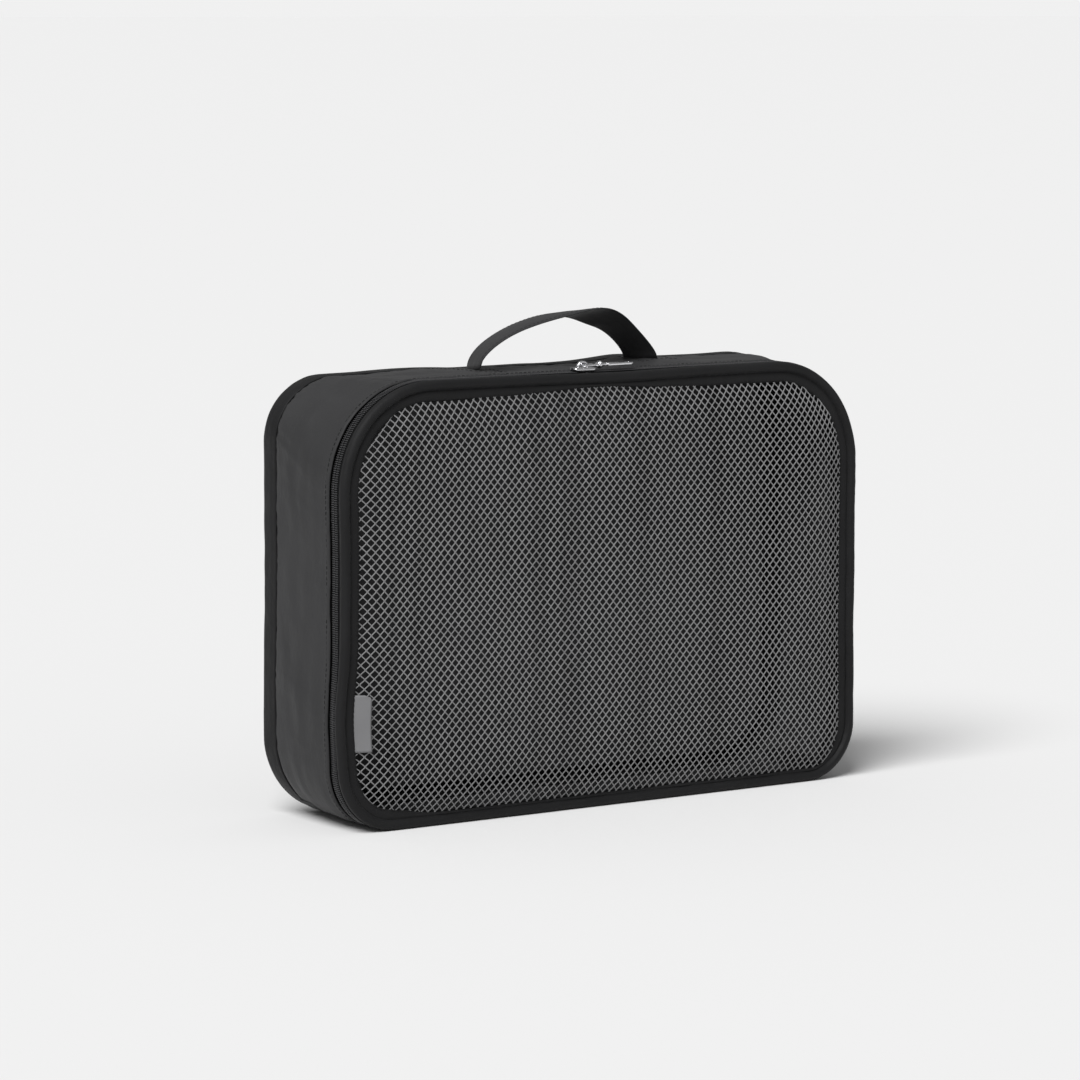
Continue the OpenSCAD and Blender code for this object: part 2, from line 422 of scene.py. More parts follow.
class NodeTree:
    """Adds nodes to one tree and fills their inputs."""

    def __init__(self, tree: bpy.types.NodeTree) -> None:
        """Keeps the tree."""
        self.tree = tree

    def fill(self, inputs: bpy.types.NodeInputs, values: dict[str | int, object]) -> None:
        """Links an output to each named input, or sets the input to a plain value."""
        for key, value in values.items():
            if isinstance(value, bpy.types.NodeSocket):
                self.tree.links.new(value, inputs[key])
            else:
                inputs[key].default_value = value

    def add(
        self, kind: str, values: dict[str | int, object] | None = None, **settings: object
    ) -> bpy.types.NodeOutputs:
        """Adds a node.

        Args:
            kind: The node's type.
            values: An output socket or a plain value for each input.
            **settings: The node's properties.

        Returns:
            The node's outputs.
        """
        node = self.tree.nodes.new(kind)
        for key, value in settings.items():
            setattr(node, key, value)
        self.fill(node.inputs, values or {})
        return node.outputs


class Recipe(NodeTree):
    """A geometry node tree with named inputs that turns an object into a finished mesh."""

    def __init__(self, name: str, inputs: dict[str, str]) -> None:
        """Starts a tree.

        Args:
            name: The tree's name.
            inputs: Kind of each named input, such as Float or Object.
        """
        super().__init__(bpy.data.node_groups.new(name, "GeometryNodeTree"))
        face = self.tree.interface
        for way in ("INPUT", "OUTPUT"):
            face.new_socket(name="Geometry", in_out=way, socket_type="NodeSocketGeometry")
        self.sockets: dict[str, str] = {}
        for label, kind in inputs.items():
            socket = face.new_socket(name=label, in_out="INPUT", socket_type=f"NodeSocket{kind}")
            self.sockets[label] = socket.identifier
        self.source = self.add("NodeGroupInput")

    def end_with(self, geometry: bpy.types.NodeSocket) -> None:
        """Closes the tree with real, smooth geometry in the named material."""
        real = self.add("GeometryNodeRealizeInstances", {"Geometry": geometry})
        smooth = self.add("GeometryNodeSetShadeSmooth", {"Geometry": real["Geometry"]})
        coat = {"Geometry": smooth["Geometry"], "Material": self.source["Material"]}
        painted = self.add("GeometryNodeSetMaterial", coat)
        self.add("NodeGroupOutput", {"Geometry": painted["Geometry"]})

    def apply(self, target: bpy.types.Object, **values: object) -> bpy.types.Object:
        """Runs the tree on an object and keeps the result as its plain mesh.

        Args:
            target: The object to change.
            **values: The named inputs, with spaces written as underscores.

        Returns:
            The same object.
        """
        modifier = target.modifiers.new(self.tree.name, "NODES")
        modifier.node_group = self.tree
        for key, value in values.items():
            modifier[self.sockets[key.replace("_", " ")]] = value
        graph = bpy.context.evaluated_depsgraph_get()
        mesh = bpy.data.meshes.new_from_object(target.evaluated_get(graph))
        target.modifiers.remove(modifier)
        target.data = mesh
        mesh.name = target.name
        return target


def thread_recipe() -> Recipe:
    """Builds the tree that turns edges into round threads."""
    kinds = {"Radius": "Float", "Sides": "Int", "Material": "Material"}
    recipe = Recipe("threads_from_edges", kinds)
    source = recipe.source
    curve = recipe.add("GeometryNodeMeshToCurve", {"Mesh": source["Geometry"]})
    circle = {"Radius": source["Radius"], "Resolution": source["Sides"]}
    ring = recipe.add("GeometryNodeCurvePrimitiveCircle", circle)
    sweep = {"Curve": curve["Curve"], "Profile Curve": ring["Curve"], "Fill Caps": True}
    recipe.end_with(recipe.add("GeometryNodeCurveToMesh", sweep)["Mesh"])
    return recipe


def repeat_recipe() -> Recipe:
    """Builds the tree that sets copies of one small piece along lines."""
    kinds = {"Piece": "Object", "Spacing": "Float", "Jitter": "Float", "Material": "Material"}
    recipe = Recipe("repeat_along_lines", kinds)
    source = recipe.source
    align = "FunctionNodeAlignRotationToVector"
    curve = recipe.add("GeometryNodeMeshToCurve", {"Mesh": source["Geometry"]})
    steps = {"Curve": curve["Curve"], "Length": source["Spacing"]}
    spaced = recipe.add("GeometryNodeResampleCurve", steps, mode="LENGTH")
    piece = recipe.add("GeometryNodeObjectInfo", {"Object": source["Piece"]})
    tangent = recipe.add("GeometryNodeInputTangent")
    turn = recipe.add(align, {"Vector": tangent["Tangent"]}, axis="X", pivot_axis="AUTO")
    upright = {"Rotation": turn["Rotation"], "Vector": (0.0, 1.0, 0.0)}
    level = recipe.add(align, upright, axis="Y", pivot_axis="X")
    least = recipe.add("ShaderNodeMath", {0: 1.0, 1: source["Jitter"]}, operation="SUBTRACT")
    sizes = {2: least[0], 3: 1.0, "Seed": 7}
    vary = recipe.add("FunctionNodeRandomValue", sizes, data_type="FLOAT")
    placing = {"Points": spaced["Curve"], "Instance": piece["Geometry"]}
    placing |= {"Rotation": level["Rotation"], "Scale": vary[1]}
    recipe.end_with(recipe.add("GeometryNodeInstanceOnPoints", placing)["Instances"])
    return recipe


class ShaderGroup(NodeTree):
    """A shader node group that takes a vector and named numbers and gives named numbers."""

    def __init__(self, name: str, inputs: dict[str, float], outputs: Sequence[str]) -> None:
        """Starts a group.

        Args:
            name: The group's name.
            inputs: Default of each number that it takes.
            outputs: Name of each number that it gives.
        """
        super().__init__(bpy.data.node_groups.new(name, "ShaderNodeTree"))
        face = self.tree.interface
        face.new_socket(name="Vector", in_out="INPUT", socket_type="NodeSocketVector")
        for label, default in inputs.items():
            made = face.new_socket(name=label, in_out="INPUT", socket_type="NodeSocketFloat")
            made.default_value = default
        for label in outputs:
            face.new_socket(name=label, in_out="OUTPUT", socket_type="NodeSocketFloat")
        self.source = self.add("NodeGroupInput")

    def math(self, operation: str, first: object, second: object = 0.0) -> bpy.types.NodeSocket:
        """Adds a maths node whose inputs are sockets or numbers."""
        return self.add("ShaderNodeMath", {0: first, 1: second}, operation=operation)[0]

    def noise(
        self, times: float, detail: float, stretch: tuple[float, float, float]
    ) -> bpy.types.NodeSocket:
        """Adds a noise texture on the group's vector.

        Args:
            times: Its scale, as a multiple of the group's.
            detail: Its detail.
            stretch: How its axes are stretched.

        Returns:
            The texture's value.
        """
        scale = self.math("MULTIPLY", self.source["Scale"], times)
        mapping = self.add("ShaderNodeMapping", {"Scale": stretch, "Vector": self.source["Vector"]})
        texture = {"Vector": mapping[0], "Scale": scale, "Detail": detail}
        return self.add("ShaderNodeTexNoise", texture)["Fac"]


def weave_group() -> bpy.types.NodeTree:
    """Builds a plain weave: threads that pass over and under each other, from a UV in metres."""
    group = ShaderGroup("plain_weave", {"Pitch": 0.0005}, ["Height"])
    split = group.add("ShaderNodeSeparateXYZ", {0: group.source["Vector"]})
    waves: list[bpy.types.NodeSocket] = []
    for axis in (0, 1):
        turns = group.math("DIVIDE", split[axis], group.source["Pitch"])
        waves.append(group.math("SINE", group.math("MULTIPLY", turns, math.pi)))
    over = group.math("MULTIPLY", group.math("MULTIPLY", waves[0], waves[1]), 0.5)
    group.add("NodeGroupOutput", {"Height": group.math("ADD", over, 0.5)})
    return group.tree


def crumple_group() -> bpy.types.NodeTree:
    """Builds soft creases with fine puckers, and a mask of noise patches: painted shade in a cloth's
    colour, and wear in roughness and in the marks of hard finishes.
    """
    group = ShaderGroup("cloth_crumple", {"Scale": 40.0, "Puckers": 0.3}, ["Height", "Rubbed"])
    broad = group.noise(1.0, 2.0, (1.0, 0.7, 0.55))
    fine = group.noise(5.0, 3.0, (1.0, 1.0, 0.6))
    pucker = group.math("MULTIPLY", fine, group.source["Puckers"])
    # Noise patches: painted shade where a cloth's colour is mixed by them, wear where they vary roughness
    # or mark a hard finish.
    shade_and_wear_noise = group.noise(0.45, 5.0, (1.0, 1.0, 1.0))
    height = group.math("ADD", broad, pucker)
    group.add("NodeGroupOutput", {"Height": height, "Rubbed": shade_and_wear_noise})
    return group.tree


# ---------------------------------------------------------------- materials


def new_material(name: str) -> tuple[bpy.types.Material, NodeTree, bpy.types.NodeInputs]:
    """Starts a material, and returns it with its tree and its shader's inputs."""
    material = bpy.data.materials.new(name)
    material.use_nodes = True
    shader = material.node_tree.nodes["Principled BSDF"]
    return material, NodeTree(material.node_tree), shader.inputs


@dataclass(frozen=True)
class ClothFinish:
    """A woven or knitted cloth.

    Attributes:
        name: The material's name.
        colour: Linear colour of the cloth.
        pitch: Distance between threads in metres.
        weave_depth: Height of the weave's relief in metres.
        crumple_scale: Creases per metre.
        crumple_depth: Height of the creases in metres.
        roughness: Middle roughness.
        sheen: Strength of the soft edge glow.
        variation: How much the colour varies, as a share.
        gloss: Strength of the plain reflection.
    """

    name: str
    colour: Colour
    pitch: float = 0.0006
    weave_depth: float = 0.00004
    crumple_scale: float = 45.0
    crumple_depth: float = 0.0010
    roughness: float = 0.5
    sheen: float = 0.06
    variation: float = 0.18
    gloss: float = 0.28

    def build(self, groups: dict[str, bpy.types.NodeTree]) -> bpy.types.Material:
        """Builds the material from the shared node groups."""
        material, tree, shader = new_material(self.name)
        places = tree.add("ShaderNodeTexCoord")
        grain = {"Pitch": self.pitch, "Vector": places["UV"]}
        weave = tree.add("ShaderNodeGroup", grain, node_tree=groups["weave"])
        folds = {"Scale": self.crumple_scale, "Vector": places["Object"]}
        crumple = tree.add("ShaderNodeGroup", folds, node_tree=groups["crumple"])
        # The noise patches paint shade into the colour, lighter and darker, and also vary the roughness as
        # wear.
        shade_and_wear_range = {"Value": crumple["Rubbed"], "From Min": 0.3, "From Max": 0.7}
        shade = tree.add("ShaderNodeMapRange", shade_and_wear_range | {"To Max": 0.65})
        # The weave's height also mixes the colour, darker between the threads: painted shade in the
        # weave's recesses.
        shares = {0: weave["Height"], 1: 0.35, 2: shade["Result"]}
        blend = tree.add("ShaderNodeMath", shares, operation="MULTIPLY_ADD")
        dark = tuple(c * (1 - self.variation) for c in self.colour)
        light = tuple(c * (1 + self.variation) for c in self.colour)
        dyes = {"A": (*dark, 1.0), "B": (*light, 1.0), "Factor": blend[0]}
        mix = tree.add("ShaderNodeMix", dyes, data_type="RGBA")
        span = {"To Min": self.roughness - 0.07, "To Max": self.roughness + 0.09}
        rough = tree.add("ShaderNodeMapRange", shade_and_wear_range | span)
        relief = {"Distance": self.crumple_depth, "Height": crumple["Height"]}
        creases = tree.add("ShaderNodeBump", relief)
        relief = {"Distance": self.weave_depth, "Height": weave["Height"]}
        threads = tree.add("ShaderNodeBump", relief | {"Normal": creases["Normal"]})
        look = {"Base Color": mix["Result"], "Roughness": rough["Result"]}
        look |= {"Normal": threads["Normal"], "Specular IOR Level": self.gloss}
        look |= {"Sheen Weight": self.sheen, "Sheen Roughness": 0.4}
        tree.fill(shader, look)
        return material


@dataclass(frozen=True)
class HardFinish:
    """A metal or plastic surface with faint marks.

    Attributes:
        name: The material's name.
        colour: Linear colour.
        metallic: 1 for metal, 0 for plastic.
        roughness: Middle roughness.
        marks: Marks per metre.
        mark_depth: Height of the marks in metres.
    """

    name: str
    colour: Colour
    metallic: float = 0.0
    roughness: float = 0.35
    marks: float = 900.0
    mark_depth: float = 0.00002

    def build(self, groups: dict[str, bpy.types.NodeTree]) -> bpy.types.Material:
        """Builds the material from the shared node groups."""
        material, tree, shader = new_material(self.name)
        places = tree.add("ShaderNodeTexCoord")
        spots = {"Scale": self.marks, "Vector": places["Object"]}
        marks = tree.add("ShaderNodeGroup", spots, node_tree=groups["crumple"])
        span = {"To Min": self.roughness * 0.7, "To Max": self.roughness * 1.3}
        rough = tree.add("ShaderNodeMapRange", span | {"Value": marks["Rubbed"]})
        relief = {"Distance": self.mark_depth, "Height": marks["Height"]}
        bump = tree.add("ShaderNodeBump", relief)
        dull = tuple(0.88 * c for c in self.colour)
        tones = {"A": (*dull, 1.0), "B": (*self.colour, 1.0), "Factor": marks["Rubbed"]}
        mix = tree.add("ShaderNodeMix", tones, data_type="RGBA")
        look = {"Base Color": mix["Result"], "Roughness": rough["Result"]}
        tree.fill(shader, look | {"Normal": bump["Normal"], "Metallic": self.metallic})
        return material


class Wardrobe:
    """Every finish of the cube, built once."""

    def __init__(self) -> None:
        """Builds the shared groups and the materials."""
        groups = {"weave": weave_group(), "crumple": crumple_group()}
        finishes: dict[Slot, ClothFinish | HardFinish] = {
            Slot.NYLON: ClothFinish("charcoal_nylon", (0.035, 0.035, 0.036), gloss=0.1, sheen=0.03),
            Slot.BINDING: ClothFinish(
                "black_binding", (0.014, 0.014, 0.0145), roughness=0.5, crumple_scale=70.0,
                gloss=0.1, sheen=0.02,
            ),
            Slot.WEBBING: ClothFinish(
                "handle_nylon", (0.026, 0.026, 0.027), roughness=0.5, crumple_scale=30.0, gloss=0.18
            ),
            Slot.NET: ClothFinish(
                "knitted_net", (0.22, 0.22, 0.223), roughness=0.6, sheen=0.2, crumple_scale=400.0,
                crumple_depth=0.0002,
            ),
            Slot.ZIP_TAPE: ClothFinish(
                "zip_tape", (0.006, 0.006, 0.0065), pitch=0.0008, weave_depth=0.0001, roughness=0.8,
                sheen=0.0,
            ),
            Slot.LABEL: ClothFinish(
                "label_satin", (0.18, 0.18, 0.185), pitch=0.0005, crumple_depth=0.0003, roughness=0.55
            ),
            Slot.ZIP_COIL: HardFinish("coil_nylon", (0.03, 0.03, 0.032), roughness=0.35),
            Slot.METAL: HardFinish(
                "polished_zinc", (0.83, 0.83, 0.85), metallic=1.0, roughness=0.2, mark_depth=0.00001
            ),
        }
        self.materials = {slot: finish.build(groups) for slot, finish in finishes.items()}

    def dress(self, piece: bpy.types.Object, slot: Slot) -> None:
        """Gives a piece the material of a slot, in place of any that it had."""
        piece.data.materials.clear()
        piece.data.materials.append(self.materials[slot])


# ---------------------------------------------------------------- the cube


@dataclass
class CubeFrame:
    """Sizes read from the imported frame, shared by every class below."""

    case_low: Vector = field(default_factory=lambda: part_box("front_piping")[0])
    case_high: Vector = field(default_factory=lambda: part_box("front_piping")[1])
    back_high: Vector = field(default_factory=lambda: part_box("back_piping")[1])
    fold_y: float = field(default_factory=lambda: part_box("side_gusset")[0].y)
    hinge_y: float = field(default_factory=lambda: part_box("bottom_gusset")[0].y)
    front_top_radius: float = 0.059
    front_bottom_radius: float = 0.034
    back_top_radius: float = 0.037
    back_bottom_radius: float = 0.044
    form: SoftForm = field(default_factory=SoftForm)

    def __post_init__(self) -> None:
        """Works out the outlines and seam places."""
        width = self.case_high.x - self.case_low.x
        height = self.case_high.z - self.case_low.z
        self.front_radius = (self.case_high.y - self.case_low.y) / 2
        self.front_y = self.case_low.y + self.front_radius
        self.window_inset = 2 * self.front_radius + 6.0 * MM
        self.back_radius = (self.back_high.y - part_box("back_piping")[0].y) / 2
        self.back_y = self.back_high.y - self.back_radius
        self.front = Outline(width, height, self.front_top_radius, self.front_bottom_radius)
        self.back = Outline(width, height, self.back_top_radius, self.back_bottom_radius)
        self.stations = self.front.stations(2.4 * MM)

    def point(self, station: Station, inset: float, y: float) -> Vector:
        """Returns the settled place of a cloth point.

        Args:
            station: Where along the outline.
            inset: How far inside the outside surface.
            y: Depth place, which also says how far the outline has changed to the back's.

        Returns:
            The point in the frame.
        """
        share = smooth_step(self.fold_y, self.back_y, y)
        x0, z0, _, _ = self.front.place(station, inset)
        x1, z1, _, _ = self.back.place(station, inset)
        x, z = x0 + (x1 - x0) * share, z0 + (z1 - z0) * share
        return Vector((x, y, z)) + self.form.shift(x, y, z, self.front_y)

    def window_at(self, x: float, z: float) -> float:
        """Returns the border's whole width near a point, narrower below and mid-top.

        Args:
            x: Place across the cube.
            z: Height.

        Returns:
            The distance from the outside to the window's edge, in metres.
        """
        below = smooth_step(0.06, 0.03, z) * smooth_step(-0.15, -0.115, x)
        below *= smooth_step(0.173, 0.158, x)
        above = smooth_step(0.19, 0.22, z) * bell(x, -0.004, 0.042)
        sway = 0.5 * MM * ripple(x, 0.0, z, 0.024, 9.0)
        return self.window_inset - 4.4 * MM * below - 3.8 * MM * above + sway

    def ring_piece(
        self, name: str, section: Callable[[Station], Section], stations: Sequence[Station] = ()
    ) -> bpy.types.Object:
        """Lofts a closed section round the outline, or along part of it."""
        chosen = list(stations) or self.stations
        rings = [[self.point(s, inset, y) for inset, y in section(s)] for s in chosen]
        return loft(name, rings, path_closed=not stations)

    def zip_stations(self, spacing: float, end: float = 1.0 / 3.0) -> list[Station]:
        """Returns the stations that the zip follows, from one bottom corner to the other.

        Args:
            spacing: Distance between stations in metres.
            end: Share of each bottom corner that the zip leaves free.

        Returns:
            The stations in order.
        """
        run = self.front.stations(spacing)
        return [
            s
            for s in run
            if not (
                s.side in (Side.BOTTOM_RIGHT_RUN, Side.BOTTOM_LEFT_RUN)
                or (s.side is Side.BOTTOM_RIGHT_CORNER and s.share < end)
                or (s.side is Side.BOTTOM_LEFT_CORNER and s.share > 1 - end)
            )
        ]


def along(frame: CubeFrame, station: Station) -> float:
    """Returns a running distance along the outline, to feed noise with."""
    x, z, _, _ = frame.front.place(station)
    return x * 1.3 + z * 1.7


class Maker:
    """Makes one group of the cube's pieces from its frame and its finishes."""

    def __init__(self, frame: CubeFrame, wardrobe: Wardrobe) -> None:
        """Keeps what the methods share."""
        self.frame = frame
        self.wardrobe = wardrobe

    def finish(self, piece: bpy.types.Object, slot: Slot, body: Body, *nodes: str) -> None:
        """Dresses a piece, hides the CAD nodes that it stands for and sets it on its body."""
        self.wardrobe.dress(piece, slot)
        if nodes:
            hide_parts(*nodes)
        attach(piece, body.value)
        LOG.info("%s: %d faces", piece.name, len(piece.data.polygons))

    def repeat_along(self, recipe: Recipe, row: bpy.types.Object, slot: Slot, **values: object) -> None:
        """Runs a recipe along the lines of a piece, in the material of a slot."""
        recipe.apply(row, Material=self.wardrobe.materials[slot], **values)


class CaseShell(Maker):
    """The gussets, the back panel and the bound back edge."""

    binding_reach: float = 9.5 * MM
    hem_forward: float = 1.1 * MM
    patches: tuple[str, str] = ("handle_patch_left", "handle_patch_right")

    def gusset_front(self, station: Station) -> float:
        """Returns where the gusset starts: at the zip's fold, or further forward at the hinge."""
        frame = self.frame
        x, z, _, _ = frame.front.place(station)
        hinge = 1.0 - smooth_step(0.157, 0.163, abs(x))
        return frame.fold_y + (frame.hinge_y - frame.fold_y) * (hinge if z < 0.02 else 0.0)

    def gusset_rise(self, station: Station, share: float, y: float) -> float:
        """Returns how far the gusset's cloth stands out from its straight place.

        Args:
            station: Where along the outline.
            share: 0 at the hem, 1 at the bound back edge.
            y: Depth place in metres.

        Returns:
            The rise in metres, outwards.
        """
        walk = along(self.frame, station)
        _, z, nx, nz = self.frame.front.place(station)
        belly = math.sin(math.pi * share)
        near_back, near_hem = bell(share, 1.0, 0.2), bell(share, 0.0, 0.16)
        corner = abs(nx * nz) * 2
        rise = (1.2 if abs(nx) > 0.5 else 0.5) * MM * belly
        rise += 1.3 * MM * ripple(walk, y, 0.0, 0.045, 3.1) * belly
        rise += 0.9 * MM * ripple(walk * 0.22, y, 0.0, 0.0095, 6.3) * belly
        rise += 0.4 * MM * ripple(walk * 1.7, y * 0.4, 0.0, 0.014, 8.0)
        rise += 0.5 * MM * ripple(walk, 0.0, 0.0, 0.007, 5.5) * (near_back + 0.5 * near_hem)
        rise += 0.9 * MM * ripple(walk, y * 0.25, 0.0, 0.011, 2.6) * corner * near_back
        rise += 0.5 * MM * bell(share, 0.02, 0.02)
        return rise * (0.0 if z < 4 * MM else 1.0)

    def gusset_end(self) -> float:
        """Returns where the gusset's cloth ends, under the binding."""
        return self.frame.back_y - self.binding_reach + 2.5 * MM

    def top_point(self, x: float, y: float) -> Vector:
        """Returns a place on the outside of the gusset's straight top."""
        frame = self.frame
        half = frame.front.width / 2 - frame.front.top_radius
        station = Station(Side.TOP_RUN, (1 - x / half) / 2)
        start, end = self.gusset_front(station), self.gusset_end()
        share = (y - start) / (end - start)
        return frame.point(station, 0.25 * MM - self.gusset_rise(station, share, y), y)

    def patch_lines(self) -> list[list[Vector]]:
        """Returns the rectangles that hold the handle's patches inside the top."""
        lines: list[list[Vector]] = []
        margin, steps = 1.6 * MM, 12
        for node in self.patches:
            low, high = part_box(node)
            x0, x1 = low.x + margin, high.x - margin
            y0, y1 = low.y + margin, high.y - margin
            corners = [(x0, y0), (x1, y0), (x1, y1), (x0, y1), (x0, y0)]
            for (xa, ya), (xb, yb) in zip(corners, corners[1:]):
                side = [(xa + (xb - xa) * k / steps, ya + (yb - ya) * k / steps) for k in range(steps + 1)]
                lines.append([self.top_point(x, y) for x, y in side])
        return lines

    def hang_patches(self) -> None:
        """Hangs the handle's two patches under the settled cloth of the top."""
        across, deep = 10, 8
        for node in self.patches:
            low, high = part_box(node)
            rings: list[list[Vector]] = []
            for i in range(across + 1):
                x = low.x + (high.x - low.x) * i / across
                rows = [low.y + (high.y - low.y) * j / deep for j in range(deep + 1)]
                cloth = [self.top_point(x, y) for y in rows]
                upper = [p - Vector((0.0, 0.0, 0.8 * MM)) for p in cloth]
                lower = [p - Vector((0.0, 0.0, 1.5 * MM)) for p in reversed(cloth)]
                rings.append(upper + lower)
            self.finish(loft(f"{node}_cloth", rings, False), Slot.BINDING, Body.CASE, node)

    def gusset_section(self, station: Station) -> Section:
        """Returns the gusset's section: a folded hem, the crowned wall and its tucked back edge."""
        frame = self.frame
        walk = along(frame, station)
        _, z, _, _ = frame.front.place(station)
        forward = self.hem_forward * smooth_step(0.01, 0.03, z)
        start = self.gusset_front(station) - forward
        start += 0.35 * MM * ripple(walk, 0.0, 0.0, 0.028, 1.9)
        end = self.gusset_end()
        wall: Section = []
        steps = 34
        for k in range(steps + 1):
            share = k / steps
            y = start + (end - start) * share
            tuck = 1.1 * MM * smooth_step(0.9, 0.97, share)
            wall.append((0.3 * MM + tuck - self.gusset_rise(station, share, y), y))
        hem = [(1.4 * MM, start + 6 * MM), (1.4 * MM, start + 1.2 * MM), (0.8 * MM, start - 0.3 * MM)]
        return thick(hem + wall, -0.45 * MM)

    def back_section(self, station: Station) -> Section:
        """Returns the bound back edge: a folded band over the gusset that rolls over the rim."""
        frame = self.frame
        walk = along(frame, station)
        radius = frame.back_radius
        reach = self.binding_reach + 0.4 * MM * ripple(walk, 0.0, 0.0, 0.03, 7.2)
        sway = 0.25 * MM * ripple(walk, 0.0, 0.0, 0.012, 2.2)
        pucker = 0.2 * MM * ripple(walk, 0.0, 0.0, 0.006, 4.9)
        edge = frame.back_y - reach
        line: Section = [(1.3 * MM, edge - 0.1 * MM), (0.5 * MM, edge - 0.2 * MM)]
        line += [(0.15 * MM + pucker, edge + 0.6 * MM), (0.35 * MM - pucker, edge + 1.7 * MM)]
        line += [(-0.15 * MM + sway, edge + 4.0 * MM), (0.05 * MM + sway, edge + 7.0 * MM)]
        turns = 10
        for k in range(turns + 1):
            angle = math.radians(180 - 180 * k / turns)
            away = radius * (1 + 0.04 * ripple(walk, angle * 0.004, 0.0, 0.02, 6.0))
            c, up = math.cos(angle), math.sin(angle)
            inset = radius + away * math.copysign(abs(c) ** 0.55, c)
            line.append((inset, frame.back_y + away * up**0.75))
        line.append((2 * radius + 0.6 * MM, frame.back_y - 0.6 * MM))
        return thick(line, -0.9 * MM)

    def back_panel(self) -> bpy.types.Object:
        """Builds the back panel as one crowned cloth with soft wrinkles."""
        frame = self.frame
        edge = 2 * frame.back_radius - 1.2 * MM
        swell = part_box("back_panel")[1].y - frame.back_y
        steps = 44
        middle = frame.back.height / 2
        rings: list[list[Vector]] = []
        for station in frame.stations:
            x0, z0, _, _ = frame.back.place(station, edge)
            outer: list[Vector] = []
            for k in range(steps + 1):
                size = 1 - k / steps
                x, z = x0 * size, middle + (z0 - middle) * size
                rise = swell * (1 - size**2.6) * 0.85
                fade = smooth_step(1.0, 0.93, size)
                waves = 1.1 * MM * ripple(x, 0.0, z, 0.07, 4.4)
                waves += 0.5 * MM * ripple(x + 0.6 * z, 0.0, z, 0.022, 9.1)
                pucker = 0.3 * MM * ripple(x, 0.0, z, 0.006, 1.5) * bell(size, 1.0, 0.08)
                place = Vector((x, frame.back_y + rise + waves * fade + pucker, z))
                outer.append(place + frame.form.shift(x, place.y, z, frame.front_y))
            inner = [p - Vector((0.0, 0.5 * MM, 0.0)) for p in reversed(outer)]
            rings.append(outer + inner)
        return loft("back_cloth", rings)

    def build(self) -> None:
        """Builds and places every piece of the shell."""
        frame = self.frame
        gusset = frame.ring_piece("gusset_cloth", self.gusset_section)
        self.finish(gusset, Slot.NYLON, Body.CASE, "side_gusset", "bottom_gusset")
        binding = frame.ring_piece("back_binding", self.back_section)
        self.finish(binding, Slot.BINDING, Body.CASE, "back_piping")
        self.finish(self.back_panel(), Slot.NYLON, Body.CASE, "back_panel")
        low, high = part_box("back_seam_tape")
        section = thick([(1.9 * MM, low.y), (1.9 * MM, high.y)], -0.6 * MM)
        tape = frame.ring_piece("back_seam_binding", lambda s: section)
        self.finish(tape, Slot.BINDING, Body.CASE, "back_seam_tape")
        self.hang_patches()


class LidFrame(Maker):
    """The rolled front edge, its flat border and the seam tape inside."""

    def roll_section(self, station: Station) -> Section:
        """Returns the rolled edge, a little uneven where the cord inside turns."""
        frame = self.frame
        walk = along(frame, station)
        radius = frame.front_radius
        ring: Section = []
        points = 18
        for k in range(points):
            angle = 2 * math.pi * k / points
            wobble = 1 + 0.04 * ripple(walk, angle * 0.004, 0.0, 0.007, 7.7)
            wobble += 0.05 * ripple(walk, 0.0, 0.0, 0.03, 1.0)
            seam = 0.14 * bell(angle, math.radians(322), 0.3)
            reach = radius * (wobble - seam)
            ring.append((radius + reach * math.cos(angle), frame.front_y + reach * math.sin(angle)))
        return [(max(0.0, inset), y) for inset, y in ring]

    def border_section(self, station: Station) -> Section:
        """Returns the flat border: it rises from the roll, crowns and turns under at the net."""
        frame = self.frame
        walk = along(frame, station)
        x, z, nx, nz = frame.front.place(station)
        start, end = 1.72 * frame.front_radius, frame.window_at(x, z)
        wave = 0.6 * MM * ripple(walk, 0.0, 0.0, 0.02, 3.3)
        wave += 0.45 * MM * ripple(walk, 0.0, 0.0, 0.011, 5.7) * abs(nx * nz) * 2
        wave += 0.4 * MM * ripple(walk, 0.0, 0.0, 0.008, 2.0)
        line: Section = []
        steps = 9
        for k in range(steps + 1):
            share = k / steps
            inset = start + (end - start) * share
            crown = 1.5 * MM * math.sin(math.pi * min(1.0, 0.12 + 0.88 * share)) ** 0.7
            line.append((inset, frame.front_y - crown - wave * math.sin(math.pi * share)))
        line.append((end - 0.6 * MM, frame.front_y + 0.9 * MM))
        line.append((end - 3.0 * MM, frame.front_y + 1.1 * MM))
        return thick(line, 0.4 * MM)

    def build(self) -> None:
        """Builds and places every piece of the lid's frame."""
        frame = self.frame
        roll = frame.ring_piece("front_roll", self.roll_section)
        self.finish(roll, Slot.BINDING, Body.LID, "front_piping")
        border = frame.ring_piece("front_border", self.border_section)
        self.finish(border, Slot.BINDING, Body.LID, "lid_border")
        low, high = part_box("lid_seam_tape")
        inset = 2 * frame.front_radius + 0.4 * MM
        section = thick([(inset, low.y + 0.6 * MM), (inset, high.y)], -0.6 * MM)
        tape = frame.ring_piece("lid_seam_binding", lambda s: section)
        self.finish(tape, Slot.BINDING, Body.LID, "lid_seam_tape")


